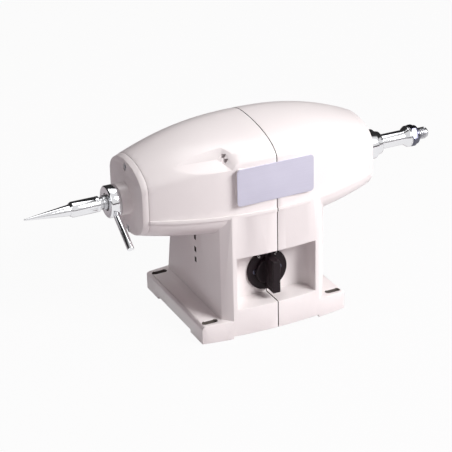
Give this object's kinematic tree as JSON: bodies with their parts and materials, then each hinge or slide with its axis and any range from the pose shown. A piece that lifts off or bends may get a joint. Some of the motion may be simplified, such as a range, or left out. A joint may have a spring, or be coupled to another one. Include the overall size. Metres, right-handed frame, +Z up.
{
  "type": "dental polishing lathe",
  "caption": "Bench-top dental polishing lathe: barrel motor housing on a pedestal, tapered buff spindle with ejector lever on one end, clamping wheel arbor on the other, rotary switch in a front recess.",
  "frame": {"origin": "on the bench plane, midway between the four bench slots, straight under the spindle axis and in the plane of the housing seam", "axes": "+X along the spindle towards the wheel end, +Z up, the operator stands on the -Y side"},
  "size_m": [0.491, 0.1786, 0.23],
  "materials": {
    "painted_aluminium": "gloss",
    "chrome_steel": "polished",
    "black_steel": "satin",
    "steel": "satin",
    "bare_aluminium": "satin",
    "silver_plate": "satin",
    "lamination_iron": "matte",
    "copper_winding": "satin",
    "seal_rubber": "matte",
    "black_plastic": "satin",
    "grey_plastic": "matte",
    "wire_insulation": "satin"
  },
  "bodies": {
    "frame": {"housing_left": "painted_aluminium", "housing_right": "painted_aluminium", "end_plate_left": "painted_aluminium", "end_plate_right": "painted_aluminium", "end_screws_left": "steel", "end_screws_right": "steel", "tie_bolts": "steel", "nameplate": "silver_plate", "bottom_cover": "steel", "cover_screws": "steel", "motor_frame": "bare_aluminium", "stator_core": "lamination_iron", "stator_windings": "copper_winding", "bearing_outer_ring_left": "steel", "bearing_outer_ring_right": "steel", "ring_clip_left": "steel", "ring_clip_right": "steel", "shaft_seal_left": "seal_rubber", "shaft_seal_right": "seal_rubber", "dial_plate": "black_plastic", "dial_screws": "black_steel", "switch_body": "grey_plastic", "run_capacitor": "bare_aluminium", "capacitor_clamp": "steel", "terminal_block": "grey_plastic", "terminal_screws": "steel", "cable_gland": "black_plastic", "gland_nut": "black_plastic", "wiring_loom": "wire_insulation"},
    "spindle": {"main_shaft": "steel", "rotor_core": "lamination_iron", "rotor_rings": "bare_aluminium", "cooling_fan": "black_plastic", "bearing_inner_ring_left": "steel", "bearing_inner_ring_right": "steel", "bearing_balls_left": "steel", "bearing_balls_right": "steel", "dust_collar": "chrome_steel", "inner_flange": "chrome_steel"},
    "chuck": {"chuck_sleeve": "chrome_steel", "buff_cone": "chrome_steel"},
    "ejector": {"ejector_collar": "chrome_steel", "ejector_lever": "chrome_steel"},
    "ejector_slider": {"ejector_ring": "steel", "ejector_pin": "steel"},
    "clamp_flange": {"outer_flange": "chrome_steel"},
    "nut": {"arbor_nut": "black_steel"},
    "knob": {"switch_knob": "black_plastic", "switch_spindle": "steel"}
  },
  "joints": [
    {"name": "spindle_spin", "type": "hinge", "parent": "frame", "child": "spindle", "pos_m": [0, 0, 0.157], "axis": [1, 0, 0], "continuous": true},
    {"name": "chuck_release", "type": "slide", "parent": "spindle", "child": "chuck", "axis": [-1, 0, 0], "range_m": [0, 0.03]},
    {"name": "ejector_swing", "type": "hinge", "parent": "frame", "child": "ejector", "pos_m": [-0.15625, 0, 0.157], "axis": [1, 0, 0], "range_deg": [-55, 0]},
    {"name": "ejector_push", "type": "slide", "parent": "frame", "child": "ejector_slider", "axis": [-1, 0, 0], "range_m": [0, 0.003]},
    {"name": "flange_travel", "type": "slide", "parent": "spindle", "child": "clamp_flange", "axis": [1, 0, 0], "range_m": [0, 0.014]},
    {"name": "nut_turn", "type": "hinge", "parent": "clamp_flange", "child": "nut", "pos_m": [0.2158, 0, 0.157], "axis": [1, 0, 0], "range_deg": [0, 2520]},
    {"name": "switch_turn", "type": "hinge", "parent": "frame", "child": "knob", "pos_m": [0, -0.0613, 0.063], "axis": [0, 1, 0], "range_deg": [-30, 30]}
  ],
  "couplings": [
    {"joint": "ejector_push", "follows": "ejector_swing", "m_per_rad": -0.003125},
    {"joint": "flange_travel", "follows": "nut_turn", "m_per_rad": 0.00031831}
  ]
}
